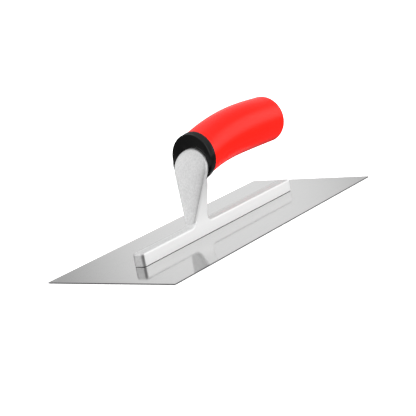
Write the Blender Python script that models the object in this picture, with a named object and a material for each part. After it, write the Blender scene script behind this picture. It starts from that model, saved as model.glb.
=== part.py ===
"""Smooth finishing trowel: a steel blade, riveted under a cast aluminium mounting, with a soft-grip handle.

Frame: metres, +Z up, origin under the middle of the blade, X along the blade. The nose of the spine and the
front face of the post look towards -X, the free end of the handle points towards +X, and the tool is the same
on both sides of the XZ plane.
"""

import math

import bmesh
import bpy
from mathutils import Vector

MM = 0.001
FIT = 0.3 * MM                  # gap left between pieces that touch

# Blade
BLADE_LENGTH = 280.0 * MM
BLADE_WIDTH = 115.0 * MM
BLADE_THICKNESS = 0.8 * MM
BLADE_CORNER = 0.6 * MM
CORNER_STEPS = 4

# Spine, the bar of the mounting that lies along the blade
SPINE_LENGTH = 206.0 * MM
SPINE_WIDTH = 9.8 * MM
SPINE_HEIGHT = 9.8 * MM
SPINE_MIDDLE_X = -1.2 * MM
SPINE_EDGE = 2.0 * MM
EDGE_STEPS = 3

# Rivets that hold the blade under the spine
RIVET_COUNT = 9
RIVET_END_MARGIN = 8.0 * MM
RIVET_HEAD_RADIUS = 3.0 * MM
RIVET_SHANK_RADIUS = 1.9 * MM
RIVET_GRIP = 6.5 * MM           # length of shank inside the spine
RIVET_RECESS = 0.03 * MM
RIVET_STEPS = 24

# Post: a web that rises from the spine and leans back towards the handle
POST_LEAN = math.radians(18.6)
POST_TOE_X = -37.0 * MM         # where the line of the front face meets the top of the spine
WEB_DEPTH = 18.0 * MM           # front to back of the web at its foot
WEB_BACK_LEAN = math.radians(11.0)
WEB_FLARE = 0.114               # widening of each side for each unit of height
WEB_FRONT_FILLET = 7.0 * MM
WEB_BACK_FILLET = 4.0 * MM
FILLET_STEPS = 6

# Flange, the crowned teardrop face on the front of the post
FLANGE_RADIUS = 15.0 * MM
FLANGE_TOE_RADIUS = 5.0 * MM
FLANGE_CENTRE_RISE = 41.7 * MM  # above the top of the spine
FLANGE_TOE_RISE = 5.6 * MM
FLANGE_CROWN = 3.4 * MM
FLANGE_TOE_CROWN = 1.0 * MM
FLANGE_EDGE = 2.2 * MM
ARC_STEPS = 20
TOE_STEPS = 8
SIDE_STEPS = 6

# Head of the post, inside the collar
HEAD_RADIUS = 12.0 * MM
HEAD_RISE = 3.2 * MM            # how far its centre climbs from front to back

# Tang, from the head into the handle
TANG_LENGTH = 66.0 * MM
TANG_FRONT_RADIUS = 8.0 * MM
TANG_END_RADIUS = 5.0 * MM
TANG_STEPS = 20

# Handle: the line of its middle, and its height and width
HANDLE_FRONT_X = -13.3 * MM     # where the collar ends and the soft sleeve begins
HANDLE_END_X = 94.8 * MM
HANDLE_FRONT_RISE = 49.0 * MM   # above the top of the spine
HANDLE_END_RISE = 53.95 * MM
HANDLE_FRONT_SLOPE = 0.271
HANDLE_END_SLOPE = -0.045
HANDLE_FRONT_RADIUS = 17.95 * MM
HANDLE_BULGE = 1.35 * MM
HANDLE_END_SWELL = 0.9 * MM
HANDLE_WIDTH_RATIO = 1.0
HANDLE_DOME = 9.3 * MM
HANDLE_STEPS = 40
DOME_RINGS = 7

# Soft sleeve and core
SLEEVE_WALL = 3.0 * MM

# Collar: a ring round the front of the handle with a hood that closes round the flange
COLLAR_RING_WIDTH = 3.9 * MM    # at the top of the ring
COLLAR_RAKE = 0.125             # how far its front leans back for each unit of height
COLLAR_PROUD = 0.5 * MM         # how far the ring stands out from the sleeve
COLLAR_LIFT = 0.7 * MM          # how much further it stands out at its top
COLLAR_TAPER = 0.65 * MM         # how much its radius falls towards its front
HOOD_BULGE = 1.9 * MM           # how far the hood swells out from the ring, at its top
HOOD_SKIRT_BULGE = 3.0 * MM     # how far it swells out at each side, low down
HOOD_REACH = 3.0 * MM           # how far its top comes forward of the ring
HOOD_SIDE_SHARE = 0.08          # how much of that reach is left at its sides
HOOD_SET_BACK = 1.2 * MM        # behind the edge of the flange
HOOD_OVERRUN = 1.0 * MM         # how far the hood is drawn inside the flange's edge before it is trimmed
HOOD_STEPS = 3                  # rings from the hood's edge in to its lip
RING_STEPS = 4
HOOD_SKIRT_RISE = 38.0 * MM     # the hood stops here, and only the ring goes on underneath

SPINE_BOTTOM = BLADE_THICKNESS + FIT
SPINE_TOP = SPINE_BOTTOM + SPINE_HEIGHT
SPINE_NOSE_X = SPINE_MIDDLE_X - SPINE_LENGTH / 2
SPINE_TAIL_X = SPINE_MIDDLE_X + SPINE_LENGTH / 2


# ---------------------------------------------------------------- helpers

def clear_scene():
    for item in list(bpy.data.objects):
        bpy.data.objects.remove(item, do_unlink=True)


def material(name, colour, roughness, metallic=0.0):
    made = bpy.data.materials.new(name)
    made.use_nodes = True
    shader = made.node_tree.nodes["Principled BSDF"]
    shader.inputs["Base Color"].default_value = (*colour, 1.0)
    shader.inputs["Roughness"].default_value = roughness
    shader.inputs["Metallic"].default_value = metallic
    return made


def add_object(name, bm, finish):
    """Turn a bmesh into a named object with its own material."""
    bmesh.ops.recalc_face_normals(bm, faces=bm.faces)
    mesh = bpy.data.meshes.new(name)
    bm.to_mesh(mesh)
    bm.free()
    made = bpy.data.objects.new(name, mesh)
    bpy.context.scene.collection.objects.link(made)
    if finish:
        mesh.materials.append(finish)
    return made


def add_guide(name, bm):
    """An object that only cuts or joins others, and is not a piece."""
    made = add_object(name, bm, None)
    made.hide_render = True
    made.display_type = "WIRE"
    return made


def combine(target, tool, operation):
    change = target.modifiers.new(operation.title() + "_" + tool.name, "BOOLEAN")
    change.operation = operation
    change.solver = "EXACT"
    change.object = tool


def smooth(made, degrees=35.0):
    made.data.shade_smooth()
    made.data.set_sharp_from_angle(angle=math.radians(degrees))


def loft(rings):
    """A closed solid drawn out from the first ring to the last, with a face over each end."""
    bm = bmesh.new()
    verts = [bm.verts.new(point) for point in rings[0]]
    edges = [bm.edges.new(pair) for pair in zip(verts, verts[1:] + verts[:1])]
    bmesh.ops.contextual_create(bm, geom=edges)
    for ring in rings[1:]:
        drawn = bmesh.ops.extrude_edge_only(bm, edges=edges)
        fresh = {item for item in drawn["geom"] if isinstance(item, bmesh.types.BMVert)}
        verts = [next(edge.other_vert(vert) for edge in vert.link_edges if edge.other_vert(vert) in fresh)
                 for vert in verts]
        for vert, point in zip(verts, ring):
            vert.co = point
        edges = [bm.edges.get(pair) for pair in zip(verts, verts[1:] + verts[:1])]
    bmesh.ops.contextual_create(bm, geom=edges)
    return bm


def arc(centre_a, centre_b, radius, start, end, steps):
    """Points on a circle, from one angle to another."""
    turn = (end - start) / steps
    return [(centre_a + radius * math.cos(start + turn * i), centre_b + radius * math.sin(start + turn * i))
            for i in range(steps + 1)]


# ---------------------------------------------------------------- handle shape

def handle_share(x):
    return (x - HANDLE_FRONT_X) / (HANDLE_END_X - HANDLE_FRONT_X)


def handle_height(x):
    """Height of the middle line of the handle, a cubic set by its ends and their slopes."""
    run = HANDLE_END_X - HANDLE_FRONT_X
    s = handle_share(x)
    rise = (HANDLE_FRONT_RISE * (2 * s**3 - 3 * s**2 + 1) + HANDLE_END_RISE * (3 * s**2 - 2 * s**3)
            + run * HANDLE_FRONT_SLOPE * (s**3 - 2 * s**2 + s) + run * HANDLE_END_SLOPE * (s**3 - s**2))
    return SPINE_TOP + rise


def handle_radius(x):
    """Half the height of the handle: it swells towards the free end."""
    s = handle_share(x)
    return HANDLE_FRONT_RADIUS + HANDLE_END_SWELL * s + HANDLE_BULGE * math.sin(math.pi * s) ** 2 * s


def handle_ring(x, radius, rake=0.0, steps=HANDLE_STEPS):
    """An oval ring round the handle, in a plane that leans by the rake."""
    ring = []
    for i in range(steps):
        turn = 2 * math.pi * i / steps
        up = radius * math.sin(turn)
        ring.append(Vector((x + rake * up, HANDLE_WIDTH_RATIO * radius * math.cos(turn), handle_height(x) + up)))
    return ring


def handle_body(front_x, inset, rings=14):
    """The handle's outside, taken in by the inset, from the front to the dome at its free end."""
    dome = HANDLE_DOME - inset * 0.5
    dome_start = HANDLE_END_X - inset - dome
    shape = []
    for i in range(rings):
        x = front_x + (dome_start - front_x) * i / (rings - 1)
        shape.append(handle_ring(x, handle_radius(x) - inset))
    rim = handle_radius(dome_start) - inset
    for i in range(1, DOME_RINGS + 1):
        turn = math.pi / 2 * i / (DOME_RINGS + 0.35)
        shape.append(handle_ring(dome_start + dome * math.sin(turn), rim * math.cos(turn)))
    return loft(shape)


# ---------------------------------------------------------------- mounting shape

def flange_plane_x(z):
    """Where the edge of the flange lies at a height."""
    return POST_TOE_X + (z - SPINE_TOP) * math.tan(POST_LEAN)


def teardrop(top_z, top_radius, toe_z, toe_radius):
    """Points (across, height, share) round two circles, one above the other. Share is 1 at the top, 0 at the toe."""
    stretch = math.cos(POST_LEAN)
    gap = (top_z - toe_z) / stretch
    tilt = math.asin((top_radius - toe_radius) / gap)
    top = arc(0.0, 0.0, top_radius, -tilt, math.pi + tilt, ARC_STEPS)
    toe = arc(0.0, 0.0, toe_radius, math.pi + tilt, 2 * math.pi - tilt, TOE_STEPS)
    points = [(across, top_z + up * stretch, 1.0) for across, up in top]
    left_top, left_toe = top[-1], toe[0]
    right_top, right_toe = top[0], toe[-1]
    for i in range(1, SIDE_STEPS):
        s = i / SIDE_STEPS
        across = left_top[0] * (1 - s) + left_toe[0] * s
        height = (top_z + left_top[1] * stretch) * (1 - s) + (toe_z + left_toe[1] * stretch) * s
        points.append((across, height, 1 - s))
    points += [(across, toe_z + up * stretch, 0.0) for across, up in toe]
    for i in range(1, SIDE_STEPS):
        s = i / SIDE_STEPS
        across = right_toe[0] * (1 - s) + right_top[0] * s
        height = (toe_z + right_toe[1] * stretch) * (1 - s) + (top_z + right_top[1] * stretch) * s
        points.append((across, height, s))
    return points


def flange_body(grow=0.0):
    """The crowned front, the edge and the back of the post, narrowing into the head. Grow sets it off outwards."""
    top_z = SPINE_TOP + FLANGE_CENTRE_RISE
    toe_z = SPINE_TOP + FLANGE_TOE_RISE
    back_x = HANDLE_FRONT_X - FIT
    rings = []
    crown_rings = 5
    for i in range(crown_rings):
        turn = math.pi / 2 * (i + 0.35) / (crown_rings - 1 + 0.35)
        grown = math.sin(turn)
        ring = []
        outline = teardrop(top_z, FLANGE_RADIUS * grown + grow, toe_z, FLANGE_TOE_RADIUS * grown + grow)
        for across, z, share in outline:
            crown = FLANGE_TOE_CROWN + (FLANGE_CROWN - FLANGE_TOE_CROWN) * share
            ring.append(Vector((flange_plane_x(z) - crown * math.cos(turn) - grow, across, z)))
        rings.append(ring)
    back_rings = 7
    for i in range(back_rings):
        turn = math.pi / 2 * i / (back_rings - 1)
        narrow = math.sin(turn)
        radius = FLANGE_RADIUS + (HEAD_RADIUS - FLANGE_RADIUS) * narrow
        toe_radius = FLANGE_TOE_RADIUS + (SPINE_WIDTH / 2 - SPINE_EDGE - FLANGE_TOE_RADIUS) * narrow
        centre = top_z + HEAD_RISE * narrow
        low = toe_z + (top_z - HEAD_RADIUS * 0.6 - toe_z) * narrow
        ring = []
        for across, z, _ in teardrop(centre, radius + grow, low, toe_radius + grow):
            edge_x = flange_plane_x(z) + FLANGE_EDGE
            x = edge_x + (back_x - edge_x) * (1 - math.cos(turn)) + grow * narrow
            ring.append(Vector((x, across, z)))
        rings.append(ring)
    return loft(rings)


def fillet_points(corner, into, out, radius, steps=FILLET_STEPS):
    """Points of an arc that rounds a corner between two directions, given as unit vectors away from it."""
    half = into.angle(out) / 2
    reach = radius / math.tan(half)
    centre = corner + (into + out).normalized() * (radius / math.sin(half))
    start = corner + into * reach - centre
    sweep = math.pi - 2 * half
    side = 1.0 if into.x * out.y - into.y * out.x < 0 else -1.0
    points = []
    for i in range(steps + 1):
        turn = side * sweep * i / steps
        points.append((centre.x + start.x * math.cos(turn) - start.y * math.sin(turn),
                       centre.y + start.x * math.sin(turn) + start.y * math.cos(turn)))
    return points


def web_outline(grow=0.0):
    """The spine and the web seen from the side, as (x, z) points: a bar with a leaning post on it."""
    flat = Vector((1.0, 0.0))
    front_up = Vector((math.sin(POST_LEAN), math.cos(POST_LEAN)))
    back_up = Vector((math.sin(WEB_BACK_LEAN), math.cos(WEB_BACK_LEAN)))
    front_foot = Vector((POST_TOE_X + 0.6 * MM - grow, SPINE_TOP))
    back_foot = Vector((POST_TOE_X + WEB_DEPTH + grow, SPINE_TOP))
    top_z = SPINE_TOP + FLANGE_CENTRE_RISE
    rise = top_z - SPINE_TOP
    back_limit = HANDLE_FRONT_X - FIT - 0.2 * MM + grow
    back_reach = (back_limit - back_foot.x) / math.tan(WEB_BACK_LEAN)
    points = [(SPINE_NOSE_X, SPINE_BOTTOM), (SPINE_NOSE_X, SPINE_TOP)]
    points += fillet_points(front_foot, -flat, front_up, WEB_FRONT_FILLET)
    points.append((front_foot.x + rise * math.tan(POST_LEAN), top_z))
    points.append((back_limit, top_z))
    points.append((back_limit, SPINE_TOP + back_reach))
    points += fillet_points(back_foot, back_up, flat, WEB_BACK_FILLET)
    points += [(SPINE_TAIL_X, SPINE_TOP), (SPINE_TAIL_X, SPINE_BOTTOM)]
    return points


def web_body(grow=0.0):
    """The outline drawn out across the tool, its edges rounded, and the web widened as it rises."""
    half = SPINE_WIDTH / 2 + grow
    bm = bmesh.new()
    verts = [bm.verts.new((x, -half, z)) for x, z in web_outline(grow)]
    face = bm.faces.new(verts)
    drawn = bmesh.ops.extrude_face_region(bm, geom=[face])
    moved = [item for item in drawn["geom"] if isinstance(item, bmesh.types.BMVert)]
    bmesh.ops.translate(bm, verts=moved, vec=(0.0, 2 * half, 0.0))
    bmesh.ops.recalc_face_normals(bm, faces=bm.faces)
    floor = SPINE_BOTTOM + 0.01 * MM
    rounded = []
    for edge in bm.edges:
        low = min(vert.co.z for vert in edge.verts)
        across = abs(edge.verts[0].co.y - edge.verts[1].co.y)
        at_end = max(abs(vert.co.x - SPINE_MIDDLE_X) for vert in edge.verts) > SPINE_LENGTH / 2 - 0.01 * MM
        if low > floor and across < 0.01 * MM:
            rounded.append(edge)
        elif at_end and (low > floor or across < 0.01 * MM):
            if max(vert.co.z for vert in edge.verts) > floor:
                rounded.append(edge)
    bmesh.ops.bevel(bm, geom=rounded, offset=SPINE_EDGE, segments=EDGE_STEPS, profile=0.5,
                    affect="EDGES", material=-1, clamp_overlap=True)
    flare_start = SPINE_TOP + 2.0 * MM
    for level in (flare_start, flare_start + 4.0 * MM):
        whole = bm.verts[:] + bm.edges[:] + bm.faces[:]
        bmesh.ops.bisect_plane(bm, geom=whole, dist=1e-7, plane_co=(0.0, 0.0, level), plane_no=(0.0, 0.0, 1.0))
    for vert in bm.verts:
        rise = max(0.0, vert.co.z - flare_start)
        if rise < 4.0 * MM:
            rise *= 0.5 * rise / (4.0 * MM)
        else:
            rise -= 2.0 * MM
        vert.co.y *= 1.0 + WEB_FLARE * rise / half
    return bm


def tang_body(grow=0.0):
    """A tapered round bar that follows the middle of the handle."""
    start = HANDLE_FRONT_X - 5.0 * MM
    end = HANDLE_FRONT_X + TANG_LENGTH + grow
    count = 9
    rings = []
    for i in range(count):
        share = i / (count - 1)
        x = start + (end - start) * share
        radius = TANG_FRONT_RADIUS + (TANG_END_RADIUS - TANG_FRONT_RADIUS) * share + grow
        rings.append(handle_ring(x, radius, steps=TANG_STEPS))
    return loft(rings)


# ---------------------------------------------------------------- pieces

def rivet_places():
    """The rivets' places along the spine, evenly spaced between its ends."""
    run = SPINE_LENGTH - 2 * RIVET_END_MARGIN
    pitch = run / (RIVET_COUNT - 1)
    return [SPINE_NOSE_X + RIVET_END_MARGIN + pitch * i for i in range(RIVET_COUNT)]


def rivet_profile(grow=0.0, overrun=0.0):
    """A countersunk rivet as (radius, z) points from its head up; overrun carries both ends further."""
    steep = (RIVET_HEAD_RADIUS - RIVET_SHANK_RADIUS) / BLADE_THICKNESS
    low = RIVET_RECESS if not overrun else -overrun
    top = SPINE_BOTTOM + RIVET_GRIP + grow
    head = RIVET_HEAD_RADIUS + grow + (0.0 if not overrun else steep * overrun)
    return [(head, low), (RIVET_SHANK_RADIUS + grow, BLADE_THICKNESS), (RIVET_SHANK_RADIUS + grow, top)]


def turned(profile, x):
    """A solid turned about an upright axis at x."""
    rings = []
    for radius, z in profile:
        rings.append([Vector((x + radius * math.cos(2 * math.pi * i / RIVET_STEPS),
                              radius * math.sin(2 * math.pi * i / RIVET_STEPS), z)) for i in range(RIVET_STEPS)])
    return loft(rings)


def rivet_holes(name):
    """All the rivet holes as one cutter; they stand clear of each other."""
    whole = bmesh.new()
    for x in rivet_places():
        single = turned(rivet_profile(FIT, overrun=0.5 * MM), x)
        bmesh.ops.recalc_face_normals(single, faces=single.faces)
        mesh = bpy.data.meshes.new(name)
        single.to_mesh(mesh)
        single.free()
        whole.from_mesh(mesh)
        bpy.data.meshes.remove(mesh)
    return add_guide(name, whole)


def make_blade(holes):
    finish = material("blade_steel", (0.62, 0.63, 0.64), 0.25, 1.0)
    bm = bmesh.new()
    outline = []
    for quarter, (sx, sy) in enumerate(((1, 1), (-1, 1), (-1, -1), (1, -1))):
        centre_x = sx * (BLADE_LENGTH / 2 - BLADE_CORNER)
        centre_y = sy * (BLADE_WIDTH / 2 - BLADE_CORNER)
        outline += arc(centre_x, centre_y, BLADE_CORNER, quarter * math.pi / 2, (quarter + 1) * math.pi / 2,
                       CORNER_STEPS)
    face = bm.faces.new([bm.verts.new((x, y, 0.0)) for x, y in outline])
    drawn = bmesh.ops.extrude_face_region(bm, geom=[face])
    moved = [item for item in drawn["geom"] if isinstance(item, bmesh.types.BMVert)]
    bmesh.ops.translate(bm, verts=moved, vec=(0.0, 0.0, BLADE_THICKNESS))
    blade = add_object("blade", bm, finish)
    combine(blade, holes, "DIFFERENCE")
    return blade


def make_mounting(holes):
    finish = material("cast_aluminium", (0.74, 0.75, 0.76), 0.38, 1.0)
    mounting = add_object("mounting", web_body(), finish)
    combine(mounting, add_guide("flange_shape", flange_body()), "UNION")
    combine(mounting, add_guide("tang_shape", tang_body()), "UNION")
    combine(mounting, holes, "DIFFERENCE")
    smooth(mounting)
    return mounting


def make_rivets():
    finish = material("rivet_aluminium", (0.70, 0.70, 0.71), 0.32, 1.0)
    for number, x in enumerate(rivet_places(), start=1):
        smooth(add_object(f"rivet_{number:02d}", turned(rivet_profile(), x), finish))


def make_collar():
    finish = material("collar_plastic", (0.012, 0.012, 0.013), 0.35)
    back_x = HANDLE_FRONT_X - FIT
    top_x = HANDLE_FRONT_X - COLLAR_RING_WIDTH
    front_x = top_x - COLLAR_RAKE * HANDLE_FRONT_RADIUS
    radius = handle_radius(back_x) + COLLAR_PROUD
    rings = []
    for step in range(RING_STEPS + 1):
        share = step / RING_STEPS
        x = back_x + (front_x - back_x) * share
        ring = handle_ring(x, radius - COLLAR_TAPER * share**2, rake=COLLAR_RAKE * share)
        for point in ring:
            point.z += COLLAR_LIFT * max(0.0, point.z - handle_height(x)) / radius
        rings.append(ring)
    rings += hood_rings(rings[-1])
    centre_z = SPINE_TOP + FLANGE_CENTRE_RISE
    lip = []
    for i in range(HANDLE_STEPS):
        turn = 2 * math.pi * i / HANDLE_STEPS
        radius = FLANGE_RADIUS - HOOD_OVERRUN
        z = centre_z + radius * math.cos(POST_LEAN) * math.sin(turn)
        lip.append(Vector((flange_plane_x(z) + HOOD_SET_BACK, radius * math.cos(turn), z)))
    edge = rings[-1]
    for step in range(1, HOOD_STEPS + 1):
        rings.append([first.lerp(last, step / HOOD_STEPS) for first, last in zip(edge, lip)])
    collar = add_object("collar", loft(rings), finish)
    combine(collar, add_guide("collar_flange_room", flange_body(FIT)), "DIFFERENCE")
    combine(collar, add_guide("collar_web_room", web_body(FIT)), "DIFFERENCE")
    combine(collar, add_guide("collar_tang_room", tang_body(FIT)), "DIFFERENCE")
    combine(collar, add_guide("collar_skirt_cut", skirt_cut()), "DIFFERENCE")
    smooth(collar)
    return collar


def hood_rings(edge):
    """The hood's swelling from the ring's front edge: fullest over the top, and out to the sides low down."""
    middle_z = sum(point.z for point in edge) / len(edge)
    rings = []
    for share, swell in ((0.35, 0.75), (0.75, 1.0), (1.0, 0.7)):
        ring = []
        for point in edge:
            outward = Vector((0.0, point.y, point.z - middle_z)).normalized()
            topness = max(0.0, outward.z)
            lowness = max(0.0, -outward.z)
            forward = HOOD_REACH * share * (HOOD_SIDE_SHARE + (1 - HOOD_SIDE_SHARE) * topness)
            aside = HOOD_SKIRT_BULGE * swell * lowness * outward.y
            bulge = outward * HOOD_BULGE * swell * topness**2
            ring.append(point + bulge + Vector((-forward, aside, 0.0)))
        rings.append(ring)
    return rings


def skirt_cut():
    """Takes the hood away below its skirt, in front of the ring."""
    bm = bmesh.new()
    bmesh.ops.create_cube(bm, size=1.0)
    high = SPINE_TOP + HOOD_SKIRT_RISE
    low = SPINE_TOP + 15.0 * MM
    reach = 3 * FLANGE_RADIUS
    top_x = HANDLE_FRONT_X - COLLAR_RING_WIDTH
    ring_top = handle_height(HANDLE_FRONT_X) + HANDLE_FRONT_RADIUS
    for vert in bm.verts:
        z = high if vert.co.z > 0 else low
        back = top_x - COLLAR_RAKE * (ring_top - z)
        vert.co = Vector((back if vert.co.x > 0 else back - reach, reach * (1 if vert.co.y > 0 else -1), z))
    return bm


def make_core():
    finish = material("core_plastic", (0.02, 0.02, 0.022), 0.45)
    inset = SLEEVE_WALL
    core = add_object("handle_core", handle_body(HANDLE_FRONT_X, inset), finish)
    combine(core, add_guide("core_socket", tang_body(FIT)), "DIFFERENCE")
    smooth(core)
    return core


def make_sleeve():
    finish = material("grip_rubber", (0.85, 0.03, 0.015), 0.42)
    sleeve = add_object("grip_sleeve", handle_body(HANDLE_FRONT_X, 0.0), finish)
    combine(sleeve, add_guide("sleeve_room", handle_body(HANDLE_FRONT_X - 5.0 * MM, SLEEVE_WALL - FIT)), "DIFFERENCE")
    smooth(sleeve)
    return sleeve


def main():
    clear_scene()
    holes = rivet_holes("rivet_holes")
    make_blade(holes)
    make_mounting(holes)
    make_rivets()
    make_collar()
    make_core()
    make_sleeve()


main()
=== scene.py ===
import math

import bmesh
import bpy
from bpy.props import FloatProperty, FloatVectorProperty, IntProperty
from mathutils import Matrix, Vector


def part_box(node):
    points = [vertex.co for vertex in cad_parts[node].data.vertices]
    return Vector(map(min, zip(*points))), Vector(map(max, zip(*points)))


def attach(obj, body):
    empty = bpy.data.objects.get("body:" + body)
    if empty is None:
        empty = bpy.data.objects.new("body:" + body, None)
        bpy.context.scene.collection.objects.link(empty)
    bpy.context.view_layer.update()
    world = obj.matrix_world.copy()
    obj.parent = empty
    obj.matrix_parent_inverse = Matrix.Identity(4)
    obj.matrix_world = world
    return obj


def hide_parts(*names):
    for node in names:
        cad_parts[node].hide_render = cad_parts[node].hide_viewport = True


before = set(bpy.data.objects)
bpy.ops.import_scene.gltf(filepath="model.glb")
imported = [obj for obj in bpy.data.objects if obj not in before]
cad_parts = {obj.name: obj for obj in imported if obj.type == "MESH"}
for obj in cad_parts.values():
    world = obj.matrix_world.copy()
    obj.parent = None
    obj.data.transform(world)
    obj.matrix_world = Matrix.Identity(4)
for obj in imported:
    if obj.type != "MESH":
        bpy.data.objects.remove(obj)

bl_info = {
    "name": "Finishing Trowel",
    "version": (1, 0, 0),
    "blender": (4, 5, 0),
    "location": "3D View > Sidebar > Trowel",
    "description": "Builds the visible pieces of a finishing trowel around its packed frame",
    "category": "Add Mesh",
}

MM = 0.001
BLADE_LOW, BLADE_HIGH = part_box("blade")
MOUNT_LOW, MOUNT_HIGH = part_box("mounting")
SLEEVE_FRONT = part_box("grip_sleeve")[0].x
RIVETS = sorted(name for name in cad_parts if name.startswith("rivet_"))

# The stage. A softbox has its size, its place and the point that it faces.
FLOOR_DROP = 0.5 * MM
FLOOR_GLOW = 0.9
OVERHEAD_BOX = (1.6, (0.1, 0.1, 1.3), (0.0, 0.0, 0.0))
FRONT_BOX = (0.8, (-0.85, 0.95, 0.28), (-0.03, 0.0, 0.04))
SIDE_BOX = (0.9, (0.30, -1.25, 0.20), (0.0, 0.0, 0.04))
CAMERA_PLACE = (-0.8507, -0.6248, 0.2455)
SENSOR_WIDTH = 36.0
# Round patches of the studio's wall: azimuth from +X, elevation, inner and outer radius in degrees, and
# change of brightness.
WALL_PATCHES = (
    (226.0, 15.0, 8.0, 43.0, -0.42),
    (35.9, 13.5, 0.5, 7.6, 0.47),
    (322.0, 18.0, 6.0, 24.0, 0.60),
    (350.0, 42.0, 8.0, 28.0, -0.34),
)

# The blade's sheared edge, painted dark as a painted reflection of the darker surroundings: where that
# painted band begins and where it is full, in from the edge.
PAINTED_EDGE_BAND = 0.10 * MM
PAINTED_EDGE_FULL = 0.02 * MM

# The casting.
TOP_STEPS = 48
TOE_STEPS = 16
SIDE_STEPS = 14
CROWN_RINGS = 14
CROWN_START = 0.35
BACK_RINGS = 16
HEAD_DROP = 0.6
FILLET_STEPS = 12
WEB_INSET = 0.2 * MM
FOOT_INSET = 0.6 * MM
NEAR = 0.01 * MM
FLARE_START = 2.0 * MM
FLARE_BLEND = 4.0 * MM
FLARE_LEVELS = 9
TANG_ROOT = 4.7 * MM
TANG_RINGS = 12
TANG_STEPS = 40

# The rivets, collar and sleeve.
RIVET_EASE = 0.08 * MM
LIP_INSET = 1.0 * MM
SKIRT_LOW = 15.0 * MM
SLEEVE_EASE = 0.5 * MM
SLEEVE_OVERRUN = 5.0 * MM
CORE_GAP = 0.3 * MM
# The hood's rings, from the collar's ring forwards: share of its reach and share of its swell.
HOOD_PROFILE = ((0.1, 0.3), (0.25, 0.6), (0.5, 0.9), (0.75, 1.0), (0.9, 0.9), (1.0, 0.7))


# ------------------------------------------------------------------ settings

def length(name, description, default):
    return FloatProperty(name=name, description=description, default=default, unit="LENGTH", precision=5)


def share(name, description, default):
    return FloatProperty(name=name, description=description, default=default, precision=4)


def angle(name, description, degrees):
    return FloatProperty(name=name, description=description, default=math.radians(degrees), subtype="ANGLE")


def count(name, description, default):
    return IntProperty(name=name, description=description, default=default, min=1)


def colour(name, description, default):
    return FloatVectorProperty(name=name, description=description, default=default, subtype="COLOR",
                               min=0, max=1)


def power(name, description, default):
    return FloatProperty(name=name, description=description, default=default, unit="POWER")


class BladeSettings(bpy.types.PropertyGroup):
    length: length("Length", "Along the tool", BLADE_HIGH.x - BLADE_LOW.x)
    width: length("Width", "Across the tool", BLADE_HIGH.y - BLADE_LOW.y)
    thickness: length("Thickness", "Of the sheet", BLADE_HIGH.z - BLADE_LOW.z)
    corner: length("Corner", "Radius of each corner", 0.6 * MM)
    corner_steps: count("Corner steps", "Segments round each corner", 8)
    ease: length("Eased edge", "How far the sharp edges are rubbed away", 0.1 * MM)
    hole: length("Hole", "Radius of each rivet hole", 3.12 * MM)
    hole_steps: count("Hole steps", "Segments round each hole", 48)
    steel: colour("Steel", "Colour of the ground face", (0.51, 0.51, 0.508))
    # Painted reflection: this edge colour is painted dark for the darker surroundings that the edges
    # reflect, not the steel's own colour.
    edge_painted_dark: colour("Edge painted dark", "Colour of the sheared edge", (0.20, 0.20, 0.205))


class MountingSettings(bpy.types.PropertyGroup):
    spine_width: length("Spine width", "Across the bar on the blade", 9.8 * MM)
    spine_top: length("Spine top", "Height of the top of the bar", 10.9 * MM)
    edge: length("Edge", "Radius along the edges of the bar and the post", 2.0 * MM)
    edge_steps: count("Edge steps", "Segments in each rounded edge", 6)
    lean: angle("Lean", "How far the front of the post leans back", 18.6)
    toe_x: length("Post foot", "Where the line of the post's front meets the bar", -37.0 * MM)
    depth: length("Web depth", "Front to back of the web at its foot", 18.0 * MM)
    back_lean: angle("Back lean", "How far the back of the web leans", 11.0)
    flare: share("Flare", "Widening of each side for each unit of height", 0.114)
    front_fillet: length("Front fillet", "Radius in front of the post", 7.0 * MM)
    back_fillet: length("Back fillet", "Radius behind the post", 4.0 * MM)
    flange_radius: length("Flange radius", "Of the round top of the flange", 15.0 * MM)
    toe_radius: length("Toe radius", "Of the flange's lower end", 5.0 * MM)
    centre_rise: length("Flange centre", "Above the top of the bar", 41.7 * MM)
    toe_rise: length("Toe centre", "Above the top of the bar", 5.6 * MM)
    crown: length("Crown", "How far the flange's middle stands forward", 3.4 * MM)
    crown_power: share("Crown power", "2 is an ellipse; more is flatter in the middle", 2.5)
    toe_crown: length("Toe crown", "How far the toe stands forward", 1.0 * MM)
    flange_edge: length("Flange edge", "Thickness of the flange at its rim", 2.2 * MM)
    head_radius: length("Head radius", "Of the round head inside the collar", 12.0 * MM)
    head_rise: length("Head rise", "How far the head's centre climbs", 3.2 * MM)
    tang_length: length("Tang length", "How far the tang goes into the handle", 66.0 * MM)
    tang_front: length("Tang root radius", "Where it leaves the head", 8.0 * MM)
    tang_end: length("Tang tip radius", "At its far end", 5.0 * MM)
    casting: colour("Casting", "Colour of the blasted aluminium", (0.80, 0.80, 0.80))
    polished: colour("Polished", "Colour of the linished sides", (0.86, 0.86, 0.858))


class RivetSettings(bpy.types.PropertyGroup):
    head: length("Head", "Radius of the flush head", 3.0 * MM)
    shank: length("Shank", "Radius of the shank", 1.9 * MM)
    steps: count("Steps", "Segments round each rivet", 48)
    aluminium: colour("Aluminium", "Colour of the ground head", (0.76, 0.76, 0.765))


class HandleSettings(bpy.types.PropertyGroup):
    front_x: length("Front", "Where the sleeve begins", SLEEVE_FRONT)
    end_x: length("End", "Free end of the handle", 94.8 * MM)
    front_rise: length("Front rise", "Middle line above the bar, at the front", 49.0 * MM)
    end_rise: length("End rise", "Middle line above the bar, at the free end", 53.95 * MM)
    front_slope: share("Front slope", "Of the middle line", 0.271)
    end_slope: share("End slope", "Of the middle line", -0.045)
    radius: length("Radius", "Half the height at the front", 17.95 * MM)
    bulge: length("Bulge", "Palm swell", 1.35 * MM)
    swell: length("End swell", "Growth towards the free end", 0.9 * MM)
    width_ratio: share("Width ratio", "Width for each unit of height", 1.0)
    dome: length("Dome", "Length of the rounded end", 9.3 * MM)
    wall: length("Wall", "Thickness of the soft sleeve", 3.0 * MM)
    steps: count("Steps", "Segments round the handle", 96)
    rubber: colour("Rubber", "Colour of the soft sleeve", (0.99, 0.009, 0.004))


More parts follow.
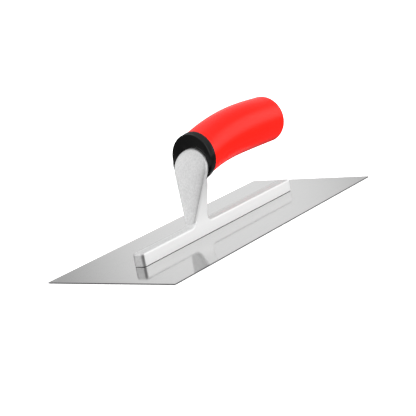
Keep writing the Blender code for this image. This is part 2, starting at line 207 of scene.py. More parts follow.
class CollarSettings(bpy.types.PropertyGroup):
    ring_width: length("Ring width", "At the top of the ring", 3.9 * MM)
    rake: share("Rake", "How far the ring's front leans for each unit of height", 0.125)
    proud: length("Proud", "How far the ring stands out from the sleeve", 0.5 * MM)
    lift: length("Lift", "How much further it stands out at its top", 0.7 * MM)
    taper: length("Taper", "How much its radius falls towards its front", 0.65 * MM)
    bulge: length("Bulge", "How far the hood swells out from the ring", 1.9 * MM)
    skirt_bulge: length("Skirt bulge", "How far it swells out at each side, low down", 3.0 * MM)
    reach: length("Reach", "How far the hood comes forward of the ring", 3.0 * MM)
    side_share: share("Side share", "How much of that reach is left at its sides", 0.08)
    ring_steps: count("Ring steps", "Rings from the back of the collar to its front edge", 8)
    lip_steps: count("Lip steps", "Rings from the hood's edge in to its lip", 10)
    set_back: length("Set back", "How far the hood's lip lies behind the flange's rim", 1.2 * MM)
    skirt_rise: length("Skirt", "Height above the bar where the hood stops", 38.0 * MM)
    gap: length("Gap", "Left between the collar and the casting", 0.3 * MM)
    plastic: colour("Plastic", "Colour of the collar", (0.002, 0.002, 0.0021))


class StageSettings(bpy.types.PropertyGroup):
    floor: length("Floor", "Radius of the floor", 40.0)
    lens: share("Lens", "Focal length in millimetres", 121.0)
    azimuth: angle("Azimuth", "Side that the camera looks from", -53.36)
    elevation: angle("Elevation", "Height of the camera above the horizon", 12.26)
    roll: angle("Roll", "Tilt of the camera", 10.59)
    overhead: power("Overhead", "Power of the overhead softbox", 0.6)
    front: power("Front", "Power of the softbox before the post", 21.0)
    side: power("Side", "Power of the softbox on the right", 28.0)
    pale: colour("Pale", "Colour of the floor", (0.93, 0.93, 0.93))


# ------------------------------------------------------------------ meshes

def loft(rings):
    """A closed solid drawn out from the first ring to the last, with a face over each end."""
    bm = bmesh.new()
    verts = [bm.verts.new(point) for point in rings[0]]
    edges = [bm.edges.new(pair) for pair in zip(verts, verts[1:] + verts[:1])]
    bmesh.ops.contextual_create(bm, geom=edges)
    for ring in rings[1:]:
        drawn = bmesh.ops.extrude_edge_only(bm, edges=edges)
        fresh = {item for item in drawn["geom"] if isinstance(item, bmesh.types.BMVert)}
        verts = [next(edge.other_vert(vert) for edge in vert.link_edges if edge.other_vert(vert) in fresh)
                 for vert in verts]
        for vert, point in zip(verts, ring):
            vert.co = point
        edges = [bm.edges.get(pair) for pair in zip(verts, verts[1:] + verts[:1])]
    bmesh.ops.contextual_create(bm, geom=edges)
    bmesh.ops.recalc_face_normals(bm, faces=bm.faces)
    return bm


def link(name, bm):
    """Turn a bmesh into an object at the origin."""
    mesh = bpy.data.meshes.new(name)
    bm.to_mesh(mesh)
    bm.free()
    made = bpy.data.objects.new(name, mesh)
    bpy.context.scene.collection.objects.link(made)
    return made


def combine(target, tools, operation):
    """Join or cut with each tool in turn, and keep only the result."""
    for tool in tools:
        change = target.modifiers.new("Combine", "BOOLEAN")
        change.operation = operation
        change.solver = "EXACT"
        change.object = tool
    graph = bpy.context.evaluated_depsgraph_get()
    graph.update()
    finished = bpy.data.meshes.new_from_object(target.evaluated_get(graph))
    finished.name = target.name
    target.modifiers.clear()
    was = target.data
    target.data = finished
    bpy.data.meshes.remove(was)
    for tool in tools:
        shape = tool.data
        bpy.data.objects.remove(tool, do_unlink=True)
        bpy.data.meshes.remove(shape)


def shade(made, degrees):
    """Round what is round and keep flat faces flat right up to their rounded edges."""
    made.data.shade_smooth()
    made.data.set_sharp_from_angle(angle=math.radians(degrees))
    flatten = made.modifiers.new("Flat faces", "WEIGHTED_NORMAL")
    flatten.keep_sharp = True
    flatten.weight = 100


def finish_piece(made, material, replaced, degrees=35.0):
    """Give a piece its material and tell the frame what it is."""
    made.data.materials.clear()
    made.data.materials.append(material)
    shade(made, degrees)
    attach(made, "root")
    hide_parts(*replaced)


def arc(radius, start, end, steps):
    """Points (across, up) from one angle to the other, both ends included."""
    turns = [start + (end - start) * i / steps for i in range(steps + 1)]
    return [(radius * math.cos(turn), radius * math.sin(turn)) for turn in turns]


# ------------------------------------------------------------------ shader maths

class Value:
    """A socket that Python's own operators work on, adding the Math nodes they stand for."""

    def __init__(self, tree, socket):
        self.tree = tree
        self.socket = socket

    def maths(self, operation, *items):
        node = self.tree.nodes.new("ShaderNodeMath")
        node.operation = operation
        for place, item in zip(node.inputs, items):
            if isinstance(item, Value):
                self.tree.links.new(item.socket, place)
            else:
                place.default_value = item
        return Value(self.tree, node.outputs[0])

    def __add__(self, other):
        return self.maths("ADD", self, other)

    def __radd__(self, other):
        return self.maths("ADD", other, self)

    def __sub__(self, other):
        return self.maths("SUBTRACT", self, other)

    def __rsub__(self, other):
        return self.maths("SUBTRACT", other, self)

    def __mul__(self, other):
        return self.maths("MULTIPLY", self, other)

    def __rmul__(self, other):
        return self.maths("MULTIPLY", other, self)

    def magnitude(self):
        return self.maths("ABSOLUTE", self)

    def clamped(self):
        made = self.maths("ADD", self, 0.0)
        made.socket.node.use_clamp = True
        return made


class Recipe:
    """A node tree being written: the tree and one method that adds any node."""

    def __init__(self, tree):
        self.tree = tree

    def node(self, kind, settings=None, output=0, **sockets):
        """Add a node. Settings come first, then the values or links of its sockets."""
        made = self.tree.nodes.new(kind)
        for key, value in (settings or {}).items():
            if key == "stops":
                while len(made.color_ramp.elements) < len(value):
                    made.color_ramp.elements.new(1.0)
                for element, (position, tint) in zip(made.color_ramp.elements, value):
                    element.position = position
                    element.color = tint
            else:
                setattr(made, key, value)
        for key, value in sockets.items():
            place = self.find(made, key)
            if isinstance(value, Value):
                self.tree.links.new(value.socket, place)
            else:
                place.default_value = value
        return Value(self.tree, made.outputs[output])

    def find(self, made, key):
        """The input with this name, written with underscores; for a Mix node the one that is in use."""
        wanted = key.replace("_", " ").lower()
        for place in made.inputs:
            if place.name.lower() == wanted and place.enabled:
                return place
        raise KeyError(f"{made.bl_idname} has no socket {key}")

    def place(self):
        """Object coordinates."""
        return self.node("ShaderNodeTexCoord", output=3)

    def split(self, vector):
        parts = self.tree.nodes.new("ShaderNodeSeparateXYZ")
        self.tree.links.new(vector.socket, parts.inputs[0])
        return [Value(self.tree, out) for out in parts.outputs]

    def stretched(self, vector, scale):
        return self.node("ShaderNodeMapping", vector=vector, scale=scale)

    def noise(self, vector, scale, detail=2.0, roughness=0.5):
        return self.node("ShaderNodeTexNoise", vector=vector, scale=scale, detail=detail,
                         roughness=roughness)

    def scaled(self, tint, tone):
        """A colour made brighter or darker by a value."""
        return self.node("ShaderNodeVectorMath", {"operation": "SCALE"}, vector=tuple(tint), scale=tone)

    def step(self, value, low, high, bottom=0.0, top=1.0):
        """A smooth step from bottom to top as the value goes from low to high."""
        return self.node("ShaderNodeMapRange", {"interpolation_type": "SMOOTHSTEP"}, value=value,
                         from_min=low, from_max=high, to_min=bottom, to_max=top)

    def mix(self, factor, first, second):
        return self.node("ShaderNodeMix", {"data_type": "RGBA"}, output=2, factor=factor, a=first, b=second)

    def bump(self, height, strength, distance):
        return self.node("ShaderNodeBump", height=height, strength=strength, distance=distance)


class Finish(Recipe):
    """A material with one Principled shader."""

    def __init__(self, name):
        self.material = bpy.data.materials.new(name)
        self.material.use_nodes = True
        super().__init__(self.material.node_tree)
        self.shader = self.tree.nodes["Principled BSDF"]

    def set(self, **sockets):
        for key, value in sockets.items():
            place = self.find(self.shader, key)
            if isinstance(value, Value):
                self.tree.links.new(value.socket, place)
            else:
                place.default_value = value


def opaque(tint, strength=1.0):
    return (tint[0] * strength, tint[1] * strength, tint[2] * strength, 1.0)


# ------------------------------------------------------------------ materials

def ground_steel(settings):
    """Sheet steel ground along its length: a fine streaked grain, faint stains, and sheared edges painted
    dark as a painted reflection of the darker surroundings.
    """
    made = Finish("ground_steel")
    place = made.place()
    x, y, _ = made.split(place)
    streaks = made.noise(made.stretched(place, (60.0, 2600.0, 60.0)), 1.0, 3.0, 0.6)
    fine = made.noise(made.stretched(place, (260.0, 5200.0, 260.0)), 1.0, 2.0, 0.6)
    clouds = made.noise(place, 28.0, 3.0, 0.55)
    mottle = made.noise(place, 420.0, 3.0, 0.6)
    half_width = settings.width / 2
    half_length = settings.length / 2
    # Painted reflection: the sheared edges and a thin band in from them are painted dark for the darker
    # surroundings that they reflect; the same mask also makes them rougher.
    long_edge_painted_dark = made.step(y.magnitude(), half_width - PAINTED_EDGE_BAND, half_width - PAINTED_EDGE_FULL)
    short_edge_painted_dark = made.step(x.magnitude(), half_length - PAINTED_EDGE_BAND, half_length - PAINTED_EDGE_FULL)
    edge = (long_edge_painted_dark + short_edge_painted_dark).clamped()
    tone = 0.86 + 0.12 * streaks + 0.07 * fine + 0.06 * clouds + 0.08 * mottle
    grey = made.scaled(settings.steel, tone - 0.025)
    made.set(base_color=made.mix(edge, grey, opaque(settings.edge_painted_dark)), metallic=1.0,
             roughness=0.055 + 0.03 * streaks + 0.02 * clouds + 0.25 * edge)
    made.set(normal=made.bump(0.6 * streaks + 0.4 * fine, 0.05, 0.02 * MM))
    return made.material


def cast_aluminium(settings):
    """Blasted casting with a sandy skin, its sides and rim linished bright."""
    made = Finish("cast_aluminium")
    place = made.place()
    x, y, z = made.split(place)
    grains = made.noise(place, 1900.0, 2.0, 0.6)
    specks = made.noise(place, 750.0, 3.0, 0.7)
    clouds = made.noise(place, 120.0, 3.0, 0.55)
    half = settings.spine_width / 2
    top = settings.spine_top
    rise = made.step(z, top + FLARE_START, top + 40.0 * MM, 0.0, 38.0 * MM)
    side_plane = half - 0.35 * MM + settings.flare * rise
    polished = made.step(y.magnitude() - side_plane, -0.35 * MM, 0.05 * MM)
    rim = settings.toe_x + (z - top) * math.tan(settings.lean)
    front = made.step(x - rim, 0.2 * MM, 0.9 * MM)
    above = made.step(z, top + 4.0 * MM, top + 9.0 * MM)
    polished = polished * (1.0 - above * (1.0 - front))
    streaks = made.noise(made.stretched(place, (90.0, 2200.0, 2200.0)), 1.0, 3.0, 0.6)
    tone = 0.68 + 0.54 * specks + 0.10 * clouds
    skin = made.scaled(settings.casting, tone)
    shine = made.scaled(settings.polished, 0.98 + 0.03 * streaks)
    nose = made.step(x - MOUNT_LOW.x, 1.4 * MM, 2.2 * MM, 1.0, 0.0)
    nose = nose * made.step(y.magnitude() - half, -2.4 * MM, -1.6 * MM)
    made.set(base_color=made.mix(polished, skin, shine), metallic=0.68 + 0.32 * nose,
             roughness=0.42 + 0.08 * specks - polished * (0.18 - 0.04 * streaks))
    relief = (0.7 * grains + 0.3 * specks) * (1.0 - 0.92 * polished)
    made.set(normal=made.bump(relief, 0.45, 0.06 * MM))
    return made.material


def rivet_metal(settings):
    """Soft aluminium ground flush with the blade."""
    made = Finish("rivet_aluminium")
    place = made.place()
    streaks = made.noise(made.stretched(place, (80.0, 2600.0, 80.0)), 1.0, 3.0, 0.6)
    clouds = made.noise(place, 300.0, 3.0, 0.5)
    grey = made.scaled(settings.aluminium, 0.90 + 0.12 * streaks + 0.08 * clouds)
    made.set(base_color=grey, metallic=1.0, roughness=0.26 + 0.12 * streaks)
    made.set(normal=made.bump(streaks, 0.1, 0.02 * MM))
    return made.material


def collar_plastic(settings):
    """Black moulded plastic, satin with a very fine spark texture."""
    made = Finish("collar_plastic")
    place = made.place()
    grain = made.noise(place, 1500.0, 2.0, 0.55)
    clouds = made.noise(place, 90.0, 2.0, 0.5)
    patches = (0.35 * clouds + 0.2 * grain).clamped()
    tint = made.mix(patches, opaque(settings.plastic), opaque(settings.plastic, 1.8))
    made.set(base_color=tint, roughness=0.20 + 0.10 * clouds + 0.05 * grain, specular_ior_level=0.0)
    made.set(coat_weight=1.0, coat_roughness=0.13, coat_ior=1.42)
    made.set(normal=made.bump(grain, 0.12, 0.03 * MM))
    return made.material


def core_plastic():
    """The hard core under the sleeve: dull black moulding."""
    made = Finish("core_plastic")
    place = made.place()
    grain = made.noise(place, 900.0, 2.0, 0.5)
    made.set(base_color=made.mix(grain, (0.014, 0.014, 0.015, 1.0), (0.032, 0.032, 0.034, 1.0)),
             roughness=0.42 + 0.14 * grain)
    made.set(normal=made.bump(grain, 0.15, 0.05 * MM))
    return made.material


def grip_rubber(settings):
    """Soft-touch red moulding: matt, with faint clouding from handling and a fine leathery tooth."""
    made = Finish("grip_rubber")
    place = made.place()
    tooth = made.noise(place, 1500.0, 2.0, 0.6)
    clouds = made.noise(place, 55.0, 4.0, 0.6)
    red = opaque(settings.rubber)
    deep = (settings.rubber[0] * 0.86, settings.rubber[1] * 0.8, settings.rubber[2] * 0.8, 1.0)
    made.set(base_color=made.mix((0.75 * clouds + 0.15 * tooth).clamped(), red, deep),
             roughness=0.42 + 0.10 * clouds + 0.05 * tooth, specular_ior_level=0.0)
    made.set(coat_weight=0.7, coat_roughness=0.27, coat_ior=1.5, coat_tint=(1.0, 0.95, 0.72, 1.0))
    made.set(normal=made.bump(tooth, 0.08, 0.03 * MM))
    return made.material


# ------------------------------------------------------------------ shared shapes

class Handle:
    """The line of the handle's middle and its oval section at any distance along it."""

    def __init__(self, scene):
        self.set = scene.trowel_handle
        self.base = scene.trowel_mounting.spine_top

    def share(self, x):
        return (x - self.set.front_x) / (self.set.end_x - self.set.front_x)

    def height(self, x):
        run = self.set.end_x - self.set.front_x
        s = self.share(x)
        rise = (self.set.front_rise * (2 * s**3 - 3 * s**2 + 1)
                + self.set.end_rise * (3 * s**2 - 2 * s**3)
                + run * self.set.front_slope * (s**3 - 2 * s**2 + s)
                + run * self.set.end_slope * (s**3 - s**2))
        return self.base + rise

    def radius(self, x):
        s = self.share(x)
        return self.set.radius + self.set.swell * s + self.set.bulge * math.sin(math.pi * s) ** 2 * s

    def ring(self, x, radius, rake=0.0, steps=None):
        steps = steps or self.set.steps
        ring = []
        for i in range(steps):
            turn = 2 * math.pi * i / steps
            up = radius * math.sin(turn)
            across = self.set.width_ratio * radius * math.cos(turn)
            ring.append(Vector((x + rake * up, across, self.height(x) + up)))
        return ring

    def body(self, front_x, inset, rings, dome_rings, ease=0.0):
        """The outside, taken in by the inset, from the front to the dome at the free end."""
        dome = self.set.dome - inset * 0.5
        dome_start = self.set.end_x - inset - dome
        shape = []
        if ease:
            shape.append(self.ring(front_x, self.radius(front_x) - inset - ease))
            for i in range(1, 5):
                turn = math.pi / 2 * i / 4
                x = front_x + ease * (1 - math.cos(turn))
                shape.append(self.ring(x, self.radius(x) - inset - ease * (1 - math.sin(turn))))
            front_x += ease
        for i in range(1 if ease else 0, rings):
            x = front_x + (dome_start - front_x) * i / (rings - 1)
            shape.append(self.ring(x, self.radius(x) - inset))
        rim = self.radius(dome_start) - inset
        for i in range(1, dome_rings + 1):
            turn = math.pi / 2 * i / (dome_rings + 0.2)
            shape.append(self.ring(dome_start + dome * math.sin(turn), rim * math.cos(turn)))
        return loft(shape)


class Mounting:
    """The casting's shapes: the bar and web, the flange with its head, and the tang."""

    def __init__(self, scene):
        self.set = scene.trowel_mounting
        self.handle = Handle(scene)
        self.back_x = scene.trowel_handle.front_x - scene.trowel_collar.gap
        self.top_z = self.set.spine_top + self.set.centre_rise
        self.toe_z = self.set.spine_top + self.set.toe_rise

    def plane_x(self, z):
        """Where the rim of the flange lies at a height."""
        return self.set.toe_x + (z - self.set.spine_top) * math.tan(self.set.lean)

    def teardrop(self, top_z, top_radius, toe_z, toe_radius):
        """Points (across, height, share) round two circles, one above the other. Share is 1 at the top."""
        stretch = math.cos(self.set.lean)
        gap = (top_z - toe_z) / stretch
        tilt = math.asin((top_radius - toe_radius) / gap)
        top = arc(top_radius, -tilt, math.pi + tilt, TOP_STEPS)
        toe = arc(toe_radius, math.pi + tilt, 2 * math.pi - tilt, TOE_STEPS)
        points = [(across, top_z + up * stretch, 1.0) for across, up in top]
        for start, end, falling in ((top[-1], toe[0], True), (toe[-1], top[0], False)):
            line = []
            for i in range(1, SIDE_STEPS):
                s = i / SIDE_STEPS
                across = start[0] * (1 - s) + end[0] * s
                start_z = (top_z if falling else toe_z) + start[1] * stretch
                end_z = (toe_z if falling else top_z) + end[1] * stretch
                line.append((across, start_z * (1 - s) + end_z * s, 1 - s if falling else s))
            points += line
            if falling:
                points += [(across, toe_z + up * stretch, 0.0) for across, up in toe]
        return points

    def flange(self, grow=0.0):
        """The crowned front, the rim, and the back that narrows into the head."""
        sizes = self.set
        rings = []
        for i in range(CROWN_RINGS):
            turn = math.pi / 2 * (i + CROWN_START) / (CROWN_RINGS - 1 + CROWN_START)
            grown = math.sin(turn) ** (2 / sizes.crown_power)
            ring = []
            for across, z, high in self.teardrop(self.top_z, sizes.flange_radius * grown + grow,
                                                 self.toe_z, sizes.toe_radius * grown + grow):
                crown = sizes.toe_crown + (sizes.crown - sizes.toe_crown) * high
                forward = crown * math.cos(turn) ** (2 / sizes.crown_power) + grow
                ring.append(Vector((self.plane_x(z) - forward, across, z)))
            rings.append(ring)
        for i in range(BACK_RINGS):
            turn = math.pi / 2 * i / (BACK_RINGS - 1)
            narrow = math.sin(turn)
            radius = sizes.flange_radius + (sizes.head_radius - sizes.flange_radius) * narrow
            toe_radius = sizes.toe_radius + (sizes.spine_width / 2 - sizes.edge - sizes.toe_radius) * narrow
            centre = self.top_z + sizes.head_rise * narrow
            low = self.toe_z + (self.top_z - sizes.head_radius * HEAD_DROP - self.toe_z) * narrow
            ring = []
            for across, z, _ in self.teardrop(centre, radius + grow, low, toe_radius + grow):
                edge_x = self.plane_x(z) + sizes.flange_edge
                x = edge_x + (self.back_x - edge_x) * (1 - math.cos(turn)) + grow * narrow
                ring.append(Vector((x, across, z)))
            rings.append(ring)
        return loft(rings)

    def web(self, grow=0.0):
        """The bar and the web drawn out across the tool, rounded, and widened as they rise."""
        sizes = self.set
        half = sizes.spine_width / 2 + grow
        back_limit = self.back_x - WEB_INSET + grow
        foot_x = sizes.toe_x + FOOT_INSET - grow
        back_x = sizes.toe_x + sizes.depth + grow
        outline = [(MOUNT_LOW.x, MOUNT_LOW.z), (MOUNT_LOW.x, sizes.spine_top),
                   (foot_x, sizes.spine_top),
                   (foot_x + sizes.centre_rise * math.tan(sizes.lean), self.top_z),
                   (back_limit, self.top_z),
                   (back_limit, sizes.spine_top + (back_limit - back_x) / math.tan(sizes.back_lean)),
                   (back_x, sizes.spine_top),
                   (MOUNT_HIGH.x, sizes.spine_top), (MOUNT_HIGH.x, MOUNT_LOW.z)]
        bm = bmesh.new()
        verts = [bm.verts.new((x, -half, z)) for x, z in outline]
        bm.faces.new(verts)
        for corner, radius, opening in ((verts[2], sizes.front_fillet, math.pi / 2 + sizes.lean),
                                        (verts[6], sizes.back_fillet, math.pi / 2 - sizes.back_lean)):
            reach = radius / math.tan(opening / 2)
            bmesh.ops.bevel(bm, geom=[corner], offset=reach, offset_type="OFFSET", segments=FILLET_STEPS,
                            profile=0.5, affect="VERTICES", material=-1, clamp_overlap=False)
        drawn = bmesh.ops.extrude_face_region(bm, geom=list(bm.faces))
        moved = [item for item in drawn["geom"] if isinstance(item, bmesh.types.BMVert)]
        bmesh.ops.translate(bm, verts=moved, vec=(0.0, 2 * half, 0.0))
        bmesh.ops.recalc_face_normals(bm, faces=bm.faces)
        floor = MOUNT_LOW.z + NEAR
        ends = (MOUNT_LOW.x + NEAR, MOUNT_HIGH.x - NEAR)
        rounded = []
        for edge in bm.edges:
            high = max(vert.co.z for vert in edge.verts) > floor
            low = min(vert.co.z for vert in edge.verts) > floor
            along = abs(edge.verts[0].co.y - edge.verts[1].co.y) < NEAR
            at_end = all(not ends[0] < vert.co.x < ends[1] for vert in edge.verts)
            if (low and along) or (at_end and high):
                rounded.append(edge)
        bmesh.ops.bevel(bm, geom=rounded, offset=sizes.edge, offset_type="OFFSET",
                        segments=sizes.edge_steps, profile=0.5, affect="EDGES", material=-1,
                        clamp_overlap=True)
        flare_start = sizes.spine_top + FLARE_START
        for level in range(FLARE_LEVELS):
            whole = bm.verts[:] + bm.edges[:] + bm.faces[:]
            cut_z = flare_start + FLARE_BLEND * level / 4
            bmesh.ops.bisect_plane(bm, geom=whole, dist=1e-7, plane_co=(0.0, 0.0, cut_z),
                                   plane_no=(0.0, 0.0, 1.0))
        for vert in bm.verts:
            rise = max(0.0, vert.co.z - flare_start)
            if rise < FLARE_BLEND:
                rise = 0.5 * rise * rise / FLARE_BLEND
            else:
                rise = rise - FLARE_BLEND / 2
            vert.co.y *= 1.0 + sizes.flare * rise / half
        return bm

    def tang(self, grow=0.0):
        """A tapered round bar along the middle of the handle."""
        start = self.back_x - TANG_ROOT
        end = self.back_x + self.set.tang_length + grow
        rings = []
        for i in range(TANG_RINGS):
            s = i / (TANG_RINGS - 1)
            radius = self.set.tang_front + (self.set.tang_end - self.set.tang_front) * s + grow
            rings.append(self.handle.ring(start + (end - start) * s, radius, steps=TANG_STEPS))
        return loft(rings)


# ------------------------------------------------------------------ operators

class TROWEL_OT_stage(bpy.types.Operator):
    """Lay the pale floor, set the studio light and place the camera"""
    bl_idname = "trowel.stage"
    bl_label = "Stage"

    def execute(self, context):
        settings = context.scene.trowel_stage
        self.floor(settings)
        self.surroundings(context.scene)
        self.softbox("overhead", settings.overhead, *OVERHEAD_BOX)
        self.softbox("front", settings.front, *FRONT_BOX)
        self.softbox("side", settings.side, *SIDE_BOX)
        self.camera(context.scene, settings)
        context.scene.view_settings.view_transform = "Standard"
        return {"FINISHED"}

    def floor(self, settings):
        """A pale disc just under the blade. It shows to the camera but lights and shades nothing."""
        bm = bmesh.new()
        bmesh.ops.create_circle(bm, cap_ends=True, segments=96, radius=settings.floor)
        bmesh.ops.translate(bm, verts=bm.verts, vec=(0.0, 0.0, -FLOOR_DROP))
        floor = link("floor", bm)
        made = Finish("pale_floor")
        cloud = made.noise(made.place(), 6.0, 2.0, 0.5)
        pale = tuple(settings.pale)
        made.set(base_color=made.mix(cloud, opaque(pale), opaque(pale, 0.99)), roughness=0.95)
        made.set(specular_ior_level=0.0, emission_color=opaque(pale), emission_strength=FLOOR_GLOW)
        floor.data.materials.append(made.material)
        floor.visible_diffuse = False
        floor.visible_glossy = False
        floor.visible_shadow = False

    def surroundings(self, scene):
        """A bright studio with a darker side behind the camera."""
        world = bpy.data.worlds.new("studio")
        scene.world = world
        world.use_nodes = True
        recipe = Recipe(world.node_tree)
        direction = recipe.node("ShaderNodeTexCoord", output=0)
        up = recipe.split(direction)[2]
        light = recipe.step(up, -0.14, 0.04, 0.18, 0.58) + recipe.step(up, 0.45, 0.95, 0.0, 0.25)
        for azimuth, elevation, inner, outer, strength in WALL_PATCHES:
            a, e = math.radians(azimuth), math.radians(elevation)
            towards = (math.cos(a) * math.cos(e), math.sin(a) * math.cos(e), math.sin(e))
            facing = recipe.node("ShaderNodeVectorMath", {"operation": "DOT_PRODUCT"}, output=1)
            node = facing.socket.node
            recipe.tree.links.new(direction.socket, node.inputs[0])
            node.inputs[1].default_value = towards
            rim = math.cos(math.radians(outer))
            core = math.cos(math.radians(inner))
            light = light + recipe.step(facing, rim, core, 0.0, strength)
        background = world.node_tree.nodes["Background"]
        background.inputs["Color"].default_value = (1.0, 1.0, 1.0, 1.0)
        world.node_tree.links.new(light.socket, background.inputs["Strength"])

    def softbox(self, name, energy, size, place, target):
        """A square area light that reflections don't show."""
        data = bpy.data.lights.new(name, "AREA")
        data.energy = energy
        data.shape = "SQUARE"
        data.size = size
        lamp = bpy.data.objects.new(name, data)
        lamp.location = place
        lamp.visible_glossy = False
        lamp.rotation_euler = (Vector(target) - Vector(place)).to_track_quat("-Z", "Y").to_euler()
        bpy.context.scene.collection.objects.link(lamp)

    def camera(self, scene, settings):
        data = bpy.data.cameras.new("camera")
        data.lens = settings.lens
        data.sensor_width = SENSOR_WIDTH
        data.clip_start = 0.01
        camera = bpy.data.objects.new("camera", data)
        scene.collection.objects.link(camera)
        a, e = settings.azimuth, settings.elevation
        back = Vector((math.sin(a) * math.cos(e), -math.cos(a) * math.cos(e), math.sin(e)))
        camera.rotation_euler = (-back).to_track_quat("-Z", "Y").to_matrix().to_4x4().to_euler()
        camera.location = CAMERA_PLACE
        camera.rotation_euler.rotate_axis("Z", -settings.roll)
        scene.camera = camera


class TROWEL_OT_blade(bpy.types.Operator):
    """Make the ground steel blade with its rivet holes"""
    bl_idname = "trowel.blade"
    bl_label = "Blade"

    def execute(self, context):
        settings = context.scene.trowel_blade
        bm = bmesh.new()
        bmesh.ops.create_grid(bm, x_segments=1, y_segments=1, size=0.5)
        bmesh.ops.scale(bm, verts=bm.verts, vec=(settings.length, settings.width, 1.0))
        bmesh.ops.bevel(bm, geom=list(bm.verts), offset=settings.corner, offset_type="OFFSET",
                        segments=settings.corner_steps, profile=0.5, affect="VERTICES", material=-1)
        bmesh.ops.delete(bm, geom=list(bm.faces), context="FACES_ONLY")
        for name in RIVETS:
            low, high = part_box(name)
            ring = bmesh.ops.create_circle(bm, segments=settings.hole_steps, radius=settings.hole)
            bmesh.ops.translate(bm, verts=ring["verts"], vec=((low.x + high.x) / 2, 0.0, 0.0))
        bmesh.ops.triangle_fill(bm, use_beauty=True, edges=list(bm.edges))
        drawn = bmesh.ops.extrude_face_region(bm, geom=list(bm.faces))
        moved = [item for item in drawn["geom"] if isinstance(item, bmesh.types.BMVert)]
        bmesh.ops.translate(bm, verts=moved, vec=(0.0, 0.0, settings.thickness))
        bmesh.ops.recalc_face_normals(bm, faces=bm.faces)
        sharp = [edge for edge in bm.edges if len(edge.link_faces) == 2
                 and edge.calc_face_angle() > math.radians(60)
                 and max(abs(vert.co.y) for vert in edge.verts) > 4 * settings.hole]
        bmesh.ops.bevel(bm, geom=sharp, offset=settings.ease, offset_type="OFFSET", segments=3, profile=0.5,
                        affect="EDGES", material=-1)
        blade = link("blade_sheet", bm)
        finish_piece(blade, ground_steel(settings), ["blade"])
        return {"FINISHED"}


class TROWEL_OT_mounting(bpy.types.Operator):
    """Make the cast mounting: the bar, the web, the flange with its head, and the tang"""
    bl_idname = "trowel.mounting"
    bl_label = "Mounting"

    def execute(self, context):
        shapes = Mounting(context.scene)
        casting = link("mounting_casting", shapes.web())
        combine(casting, [link("flange_shape", shapes.flange()), link("tang_shape", shapes.tang())], "UNION")
        finish_piece(casting, cast_aluminium(context.scene.trowel_mounting), ["mounting"])
        return {"FINISHED"}


class TROWEL_OT_rivets(bpy.types.Operator):
    """Turn the rivets, whose flat heads are flush under the blade"""
    bl_idname = "trowel.rivets"
    bl_label = "Rivets"

    def execute(self, context):
        settings = context.scene.trowel_rivets
        metal = rivet_metal(settings)
        for name in RIVETS:
            low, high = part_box(name)
            neck = low.z + (settings.head - settings.shank)
            outline = [(0.0, low.z), (settings.head - RIVET_EASE, low.z),
                       (settings.head, low.z + RIVET_EASE), (settings.shank, neck),
                       (settings.shank, high.z - 3 * RIVET_EASE),
                       (settings.shank - 3 * RIVET_EASE, high.z), (0.0, high.z)]
            bm = bmesh.new()
            verts = [bm.verts.new((radius, 0.0, z)) for radius, z in outline]
            edges = [bm.edges.new(pair) for pair in zip(verts, verts[1:])]
            bmesh.ops.spin(bm, geom=verts + edges, cent=(0.0, 0.0, 0.0), axis=(0.0, 0.0, 1.0),
                           angle=2 * math.pi, steps=settings.steps, use_merge=True)
            bmesh.ops.remove_doubles(bm, verts=bm.verts, dist=0.001 * MM)
            bmesh.ops.recalc_face_normals(bm, faces=bm.faces)
            bmesh.ops.translate(bm, verts=bm.verts, vec=((low.x + high.x) / 2, 0.0, 0.0))
            rivet = link(name.replace("rivet", "flush_rivet"), bm)
            finish_piece(rivet, metal, [name])
        return {"FINISHED"}


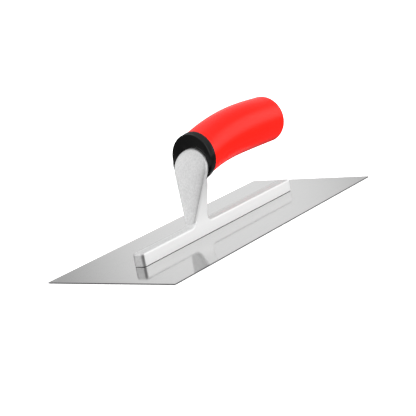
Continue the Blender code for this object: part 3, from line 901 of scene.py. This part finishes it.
class TROWEL_OT_collar(bpy.types.Operator):
    """Make the black collar: its ring and the hood that closes round the flange"""
    bl_idname = "trowel.collar"
    bl_label = "Collar"

    def execute(self, context):
        settings = context.scene.trowel_collar
        handle = Handle(context.scene)
        shapes = Mounting(context.scene)
        back_x = shapes.back_x
        front_x = handle.set.front_x - settings.ring_width - settings.rake * handle.set.radius
        whole = handle.radius(back_x) + settings.proud
        rings = []
        for step in range(settings.ring_steps + 1):
            forward = step / settings.ring_steps
            x = back_x + (front_x - back_x) * forward
            ring = handle.ring(x, whole - settings.taper * forward**2, rake=settings.rake * forward)
            for point in ring:
                point.z += settings.lift * max(0.0, point.z - handle.height(x)) / whole
            rings.append(ring)
        front = rings[-1]
        middle_z = sum(point.z for point in front) / len(front)
        for forward, swell in HOOD_PROFILE:
            ring = []
            for point in front:
                outward = Vector((0.0, point.y, point.z - middle_z)).normalized()
                topness = max(0.0, outward.z)
                aside = settings.skirt_bulge * swell * max(0.0, -outward.z) * outward.y
                kept = settings.side_share + (1 - settings.side_share) * topness
                reach = settings.reach * forward * kept
                swollen = outward * settings.bulge * swell * topness**2
                ring.append(point + swollen + Vector((-reach, aside, 0.0)))
            rings.append(ring)
        lip = []
        for i in range(handle.set.steps):
            turn = 2 * math.pi * i / handle.set.steps
            radius = shapes.set.flange_radius - LIP_INSET
            z = shapes.top_z + radius * math.cos(shapes.set.lean) * math.sin(turn)
            lip.append(Vector((shapes.plane_x(z) + settings.set_back, radius * math.cos(turn), z)))
        edge = rings[-1]
        for step in range(1, settings.lip_steps + 1):
            rings.append([first.lerp(last, step / settings.lip_steps) for first, last in zip(edge, lip)])
        collar = link("hooded_collar", loft(rings))
        rooms = [link("flange_room", shapes.flange(settings.gap)),
                 link("web_room", shapes.web(settings.gap)),
                 link("tang_room", shapes.tang(settings.gap)),
                 self.skirt(shapes, handle, settings)]
        combine(collar, rooms, "DIFFERENCE")
        finish_piece(collar, collar_plastic(settings), ["collar"], 40.0)
        return {"FINISHED"}

    def skirt(self, shapes, handle, settings):
        """The room below the hood, in front of the ring."""
        bm = bmesh.new()
        bmesh.ops.create_cube(bm, size=1.0)
        high = shapes.set.spine_top + settings.skirt_rise
        low = shapes.set.spine_top + SKIRT_LOW
        reach = 3 * shapes.set.flange_radius
        top_x = handle.set.front_x - settings.ring_width
        ring_top = handle.height(handle.set.front_x) + handle.set.radius
        for vert in bm.verts:
            z = high if vert.co.z > 0 else low
            back = top_x - settings.rake * (ring_top - z)
            x = back if vert.co.x > 0 else back - reach
            vert.co = Vector((x, reach if vert.co.y > 0 else -reach, z))
        return link("skirt_room", bm)


class TROWEL_OT_core(bpy.types.Operator):
    """Finish the hard core under the sleeve"""
    bl_idname = "trowel.core"
    bl_label = "Core"

    def execute(self, context):
        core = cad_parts["handle_core"]
        core.material_slots[0].material = core_plastic()
        core.visible_glossy = False
        return {"FINISHED"}


class TROWEL_OT_grip(bpy.types.Operator):
    """Make the soft red sleeve of the handle"""
    bl_idname = "trowel.grip"
    bl_label = "Grip"

    def execute(self, context):
        settings = context.scene.trowel_handle
        handle = Handle(context.scene)
        outside = handle.body(settings.front_x, 0.0, rings=48, dome_rings=18, ease=SLEEVE_EASE)
        inside = handle.body(settings.front_x - SLEEVE_OVERRUN, settings.wall - CORE_GAP,
                             rings=40, dome_rings=12)
        grip = link("soft_grip", outside)
        combine(grip, [link("core_room", inside)], "DIFFERENCE")
        finish_piece(grip, grip_rubber(settings), ["grip_sleeve"], 50.0)
        grip.visible_glossy = False
        return {"FINISHED"}


OPERATORS = (TROWEL_OT_stage, TROWEL_OT_blade, TROWEL_OT_mounting, TROWEL_OT_rivets, TROWEL_OT_collar,
             TROWEL_OT_core, TROWEL_OT_grip)


class TROWEL_PT_panel(bpy.types.Panel):
    """Lists the pieces of the trowel"""
    bl_idname = "TROWEL_PT_panel"
    bl_label = "Finishing Trowel"
    bl_space_type = "VIEW_3D"
    bl_region_type = "UI"
    bl_category = "Trowel"

    def draw(self, context):
        for operator in OPERATORS:
            self.layout.operator(operator.bl_idname)


GROUPS = {
    "trowel_blade": BladeSettings,
    "trowel_mounting": MountingSettings,
    "trowel_rivets": RivetSettings,
    "trowel_handle": HandleSettings,
    "trowel_collar": CollarSettings,
    "trowel_stage": StageSettings,
}


def register():
    for item in (*GROUPS.values(), *OPERATORS, TROWEL_PT_panel):
        bpy.utils.register_class(item)
    for name, group in GROUPS.items():
        setattr(bpy.types.Scene, name, bpy.props.PointerProperty(type=group))


def unregister():
    for name in GROUPS:
        delattr(bpy.types.Scene, name)
    for item in (TROWEL_PT_panel, *reversed(OPERATORS), *reversed(GROUPS.values())):
        bpy.utils.unregister_class(item)


def main():
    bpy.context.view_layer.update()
    register()
    for name in ("stage", "blade", "mounting", "rivets", "collar", "core", "grip"):
        getattr(bpy.ops.trowel, name)()


if __name__ == "__main__":
    main()
